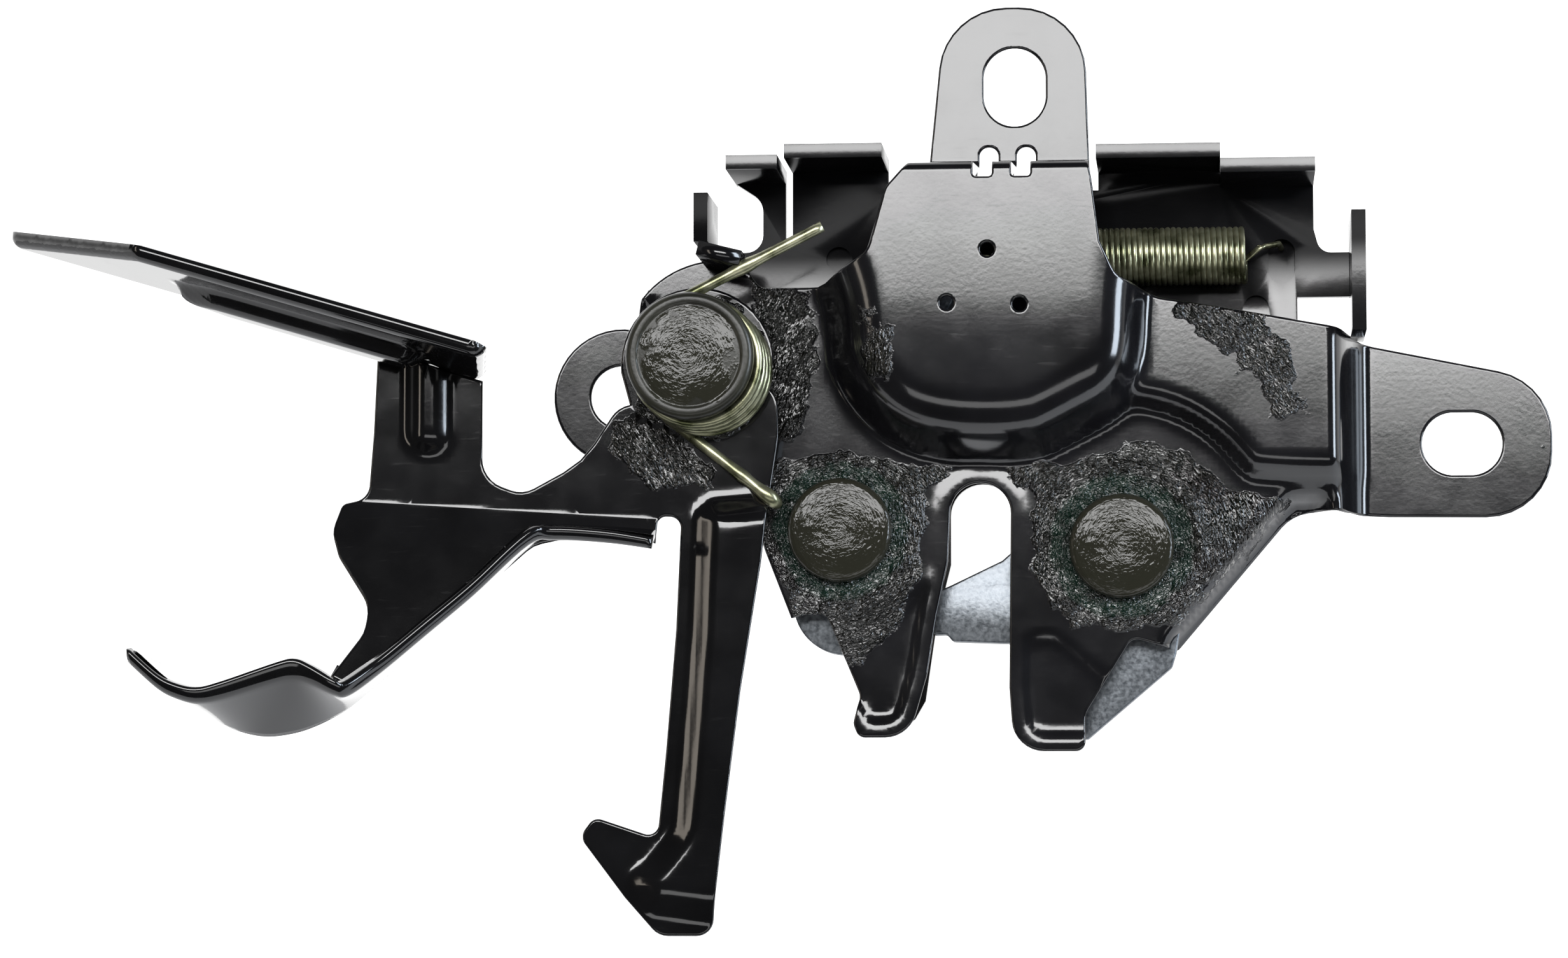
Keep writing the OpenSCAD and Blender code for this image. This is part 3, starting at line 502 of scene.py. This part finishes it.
pocket = rounded([(-82.6, 40), (-74.6, 40), (-74.4, 8.6, 4), (-82.6, 8.6, 4)])
fold_x, fold_z, fold_lean, fold_bend = -90, 3.0, 0.066, 0.16

def lever_height(x, z):
    """Depth of the lever's face: the flap leans forward below its fold, and bead and pocket are pressed forward."""
    over = np.clip(fold_z - fold_lean * (x - fold_x) - z, 0, None)
    lean = 0.287 * np.where(over < fold_bend, over ** 2 / (2 * fold_bend), over - fold_bend / 2)
    f = np.where((x < -44.9) & (z > -34), lean, 0)
    f += rise(depth_in(x, z, bead), 1.9, angle=28, foot=3, top=4)
    f += rise(depth_in(x, z, pocket), 2.2, angle=40, foot=1.5, top=3.2)
    return lever_front - f

bm = bmesh.new()
blank(bm, [lever_blank], 0.8, cut_round)
for over in (0, fold_bend):
    score(bm, (fold_x, 0, fold_z - over), (fold_lean, 0, 1))
press(bm, [lever_blank], cut_round, lever_height)
# The upper finger strip stands forward from the arm's head, with a long bead down its middle
strip_round = 1.9
slope, lean = math.radians(16.6), math.radians(6)
root_x, root_y, root_z = -86, -14.6, 24.1

def reach(x):
    """Distance along the sloping strip to a place across the latch."""
    return (x - root_x) / math.cos(slope)

strip_blank = rounded([(reach(-144.3), 0, 2.2), (reach(-117.8), -21.5, 2.2), (reach(-67.8), -21.5, 2.2),
                       (reach(-71.1), 0)])
strip_bead = rounded([(reach(-117.5), -10.8, 4), (reach(-108), -15.6, 9), (reach(-77), -15.6, 4),
                      (reach(-77), -5, 4), (reach(-106), -5.6, 9)])
strip = bmesh.new()
blank(strip, [strip_blank], 0.7, strip_round)
press(strip, [strip_blank], strip_round,
      lambda x, z: -rise(depth_in(x, z, strip_bead), 2.4, angle=52, foot=1.5, top=1.5))
for v in strip.verts:
    s, h, w = v.co
    x, z = s * math.cos(slope) + h * math.sin(slope), h * math.cos(slope) - s * math.sin(slope)
    v.co = (root_x + x, root_y + w * math.cos(lean) + z * math.sin(lean),
            root_z - w * math.sin(lean) + z * math.cos(lean))
bmesh.ops.reverse_faces(strip, faces=strip.faces[:])
upper = bpy.data.meshes.new("upper_strip")
strip.to_mesh(upper)
strip.free()
bm.from_mesh(upper)
bpy.data.meshes.remove(upper)

def through(points, fine):
    """A smooth line through a list of points."""
    out = []
    n = len(points)
    for i in range(n - 1):
        a, b, c, d = (Vector(points[min(max(k, 0), n - 1)]) for k in (i - 1, i, i + 1, i + 2))
        for k in range(fine):
            t = k / fine
            out.append(0.5 * (2 * b + (c - a) * t + (2 * a - 5 * b + 4 * c - d) * t * t
                              + (3 * b - a - 3 * c + d) * t ** 3))
    return out + [Vector(points[-1])]

# The flange along the flap's edge runs on into the curved tip strip: front edge and root, from the right
near = through([
    (-45.9, -23, -5.1), (-52, -23.4, -4.1), (-59.5, -24, -3.6), (-62.9, -26, -4.4), (-70.3, -29, -11.7),
    (-76.4, -31.6, -17.2), (-82.5, -34, -22.6), (-86.4, -37, -25.8), (-88.3, -38, -25.5), (-91.8, -38, -23.5),
    (-93.8, -38, -22.7), (-96.3, -38, -23.2), (-104, -38, -25.8), (-107.5, -38, -26.6), (-110.6, -38, -26),
    (-113.3, -38, -24.6), (-117.2, -38, -21.2)], 6)
root = through([
    (-45.9, -17.2, -3.6), (-52, -16.8, -3.1), (-59.5, -16.2, -2.7), (-63.2, -16.4, -3.5), (-70.3, -18.1, -10.3),
    (-76.6, -19.8, -16.2), (-82.8, -21.4, -22), (-86.6, -22.4, -25.4), (-89.4, -23, -27.6), (-93, -23.5, -29.5),
    (-96.4, -23.7, -30.6), (-100.4, -23.8, -31), (-104.6, -23.6, -30.1), (-108.3, -23.1, -28.3),
    (-110.4, -22.7, -27), (-112.6, -22.3, -25.7), (-116.6, -23, -22)], 6)
rows = [[bm.verts.new(a.lerp(b, k / 16 * (1 - strip_round / (a - b).length))) for a, b in zip(root, near)]
        for k in range(17)]
for d in (1.4, 0.95, 0.55, 0.25, 0.08, 0):
    lift = strip_round - math.sqrt(max(strip_round ** 2 - (strip_round - d) ** 2, 0))
    rows.append([bm.verts.new(b + (a - b).normalized() * d + Vector((0, 0, lift))) for a, b in zip(root, near)])
faces = [bm.faces.new((a[k], a[k + 1], b[k + 1], b[k])) for a, b in zip(rows, rows[1:]) for k in range(len(a) - 1)]
for f in faces:
    f.normal_update()
if sum(f.normal.z for f in faces) > 0:
    bmesh.ops.reverse_faces(bm, faces=faces)
lever = finish_sheet(bm, "safety_lever_pressing")
greased(lever, [("area", [(-52, 15), (-44, 15), (-37, 9), (-36, 3), (-47, 3), (-54, 9)], -62, 1),
                ("ring", (*lever_pin, -2, 12, lever_blank), 12, 1)])
lever.data.materials.append(coated("lever_coat", dark=(0.0025, 0.0025, 0.0028), light=(0.0045, 0.0045, 0.005),
                                   grease=dark_grease, rough=0.10, peel=0.02))
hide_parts("safety_lever")
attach(lever, "lever")

# Springs: hard-drawn wire, cold wound, plated greenish gold and greasy. The lever's torsion spring sits on the large
# rivet, the pawl's extension spring hooks into the back plate, and the claw's small one is hidden under the box.
wire_sides = 12
spring_wire, _ = plated("spring_wire", 330, 5, dark=(0.06, 0.065, 0.03), light=(0.3, 0.3, 0.2),
                        spread=(0.35, 0.62), metal=0.85, rough=(0.18, 0.42))

def wire(name, path, r, blobs=()):
    """Round wire along a path, with lumps of grease at [place, width, height]."""
    bm = bmesh.new()
    rings = []
    side = None
    for i, p in enumerate(path):
        t = (path[min(i + 1, len(path) - 1)] - path[max(i - 1, 0)]).normalized()
        side = (t.orthogonal() if side is None else side - t * side.dot(t)).normalized()
        lump = 1 + sum(h * math.exp(-((p - Vector(c)).length / w) ** 2) for c, w, h in blobs)
        rings.append([bm.verts.new(p + r * lump * (side * math.cos(a) + t.cross(side) * math.sin(a)))
                      for a in np.linspace(0, 2 * math.pi, wire_sides + 1)[:wire_sides]])
    for a, b in zip(rings, rings[1:]):
        for k in range(wire_sides):
            bm.faces.new((a[k - 1], a[k], b[k], b[k - 1]))
    bm.faces.new(rings[0])
    bm.faces.new(rings[-1][::-1])
    bmesh.ops.recalc_face_normals(bm, faces=bm.faces[:])
    obj = in_metres(bm, name)
    obj.data.materials.append(spring_wire)
    return obj

def straight(a, b, n):
    """Points along a straight piece of wire, without its last one."""
    return [Vector(a).lerp(Vector(b), k / n) for k in range(n)]

turns = [Vector((-39.5 + 1.2 * t + 8.65 * math.cos(a), -17.55 - 7.1 * (1 - t), 21.6 - 0.9 * t + 8.65 * math.sin(a)))
         for t, a in ((k / 160, math.radians(122 + 1550 * k / 160)) for k in range(161))]
stop_end, bend, hook, hook_end = (-21.5, -24.66, 40.4), (-29.5, -17.55, 2.8), (-28.8, -16.85, 2.2), (-28.8, -14.6, 2.2)
path = straight(stop_end, turns[0], 24) + turns + straight(turns[-1], bend, 18)[1:]
path += straight(bend, hook, 2) + straight(hook, hook_end, 3) + [Vector(hook_end)]
spring = wire("lever_spring_wire", path, 0.8, [((-32.4, -24.7, 34.8), 1.6, 0.35), ((-29.4, -17.6, 3.2), 1.8, 0.45),
                                               ((-33.5, -17.6, 6.2), 1.2, 0.25)])
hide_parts("lever_spring")
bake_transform(spring)
coil = [Vector((4 + 33.8 * t, -9.3 + 3.8 * math.cos(a), 37.6 + 3.8 * math.sin(a)))
        for t, a in ((k / 640, 2 * math.pi * 42 * k / 640) for k in range(641))]
pawl_end, pawl_bend, coil_in = (-5.65, -5.7, 37.54), (-5.65, -9.7, 37.54), (1, -10.3, 37.6)
coil_out, plate_bend, plate_end = (39.8, -10.3, 38.6), (42.6, -5.9, 39.7), (43, -3, 39.4)
path = straight(pawl_end, pawl_bend, 4) + straight(pawl_bend, coil_in, 4) + straight(coil_in, coil[0], 3) + coil
path += straight(coil_out, plate_bend, 4) + straight(plate_bend, plate_end, 3) + [Vector(plate_end)]
spring = wire("pawl_spring_wire", path, 0.42)
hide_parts("pawl_spring")
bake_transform(spring)
claw_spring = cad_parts["claw_spring"]
claw_spring.data.materials.clear()
claw_spring.data.materials.append(spring_wire)
weld = claw_spring.modifiers.new("weld", "WELD")
weld.merge_threshold = 1e-6
claw_spring.data.shade_smooth()

# Stage: a pale matt floor below, and soft boxes above the camera, at both sides and low in front.
# The surround glows behind the object as a lit backdrop does, and the camera sees white all round.
bpy.ops.mesh.primitive_plane_add(size=1, location=(0, 0.46, -0.3))
floor = bpy.context.object
floor.name = "floor"
floor.scale = (2.4, 1.08, 1)
pale = bpy.data.materials.new("pale_floor")
pale.use_nodes = True
feed(pale.node_tree, pale.node_tree.nodes["Principled BSDF"], {"Base Color": (0.85, 0.85, 0.86, 1), "Roughness": 0.8})
floor.data.materials.append(pale)

def soft_box(name, place, aim, size, power, tint=(1, 1, 1)):
    """A rectangular lamp at a place, turned towards its aim."""
    lamp = bpy.data.lights.new(name, "AREA")
    lamp.shape = "RECTANGLE"
    lamp.size, lamp.size_y = size
    lamp.energy = power
    lamp.color = tint
    obj = bpy.data.objects.new(name, lamp)
    obj.location = place
    obj.rotation_euler = (Vector(aim) - Vector(place)).to_track_quat("-Z", "Y").to_euler()
    bpy.context.collection.objects.link(obj)

soft_box("above_camera", (0.02, -0.74, 0.245), (0.02, 0, 0.05), (0.8, 0.24), 9.2)
soft_box("right_side", (0.75, -0.25, 0.15), (0, 0, 0.02), (0.22, 0.6), 8, (0.78, 0.88, 1))
soft_box("low_front", (0.05, -0.5, -0.3), (0, 0, -0.01), (0.7, 0.14), 0.8)
soft_box("left_side", (-0.75, -0.48, 0.0), (-0.04, 0, -0.02), (0.12, 0.6), 0.9, (1, 0.9, 0.78))
world = bpy.data.worlds.new("surround")
bpy.context.scene.world = world
world.use_nodes = True
tree = world.node_tree
toward = node(tree, "ShaderNodeSeparateXYZ", {"Vector": node(tree, "ShaderNodeTexCoord", {}).outputs["Generated"]})
backdrop = between(tree, toward.outputs["Y"], -0.15, 0.25, 0.04, 1.8)
seen = node(tree, "ShaderNodeLightPath", {}).outputs["Is Camera Ray"]
feed(tree, tree.nodes["Background"], {"Color": (1, 1, 1, 1), "Strength": maths(tree, "MAXIMUM", backdrop, seen)})

# Camera: a long lens, nearly square on to the mounting plane, as in the photograph.
# It stands 5 degrees to the right of the latch and 5 degrees below it.
lens = bpy.data.cameras.new("camera")
lens.lens = 112.5
lens.sensor_width = 36
camera = bpy.data.objects.new("camera", lens)
camera.location = (0.0327, -0.7057, -0.055)
aim = Vector((-0.0281, -0.011, 0.006))
camera.rotation_euler = (aim - camera.location).to_track_quat("-Z", "Y").to_euler()
bpy.context.collection.objects.link(camera)
bpy.context.scene.camera = camera
bpy.context.scene.view_settings.view_transform = "Standard"
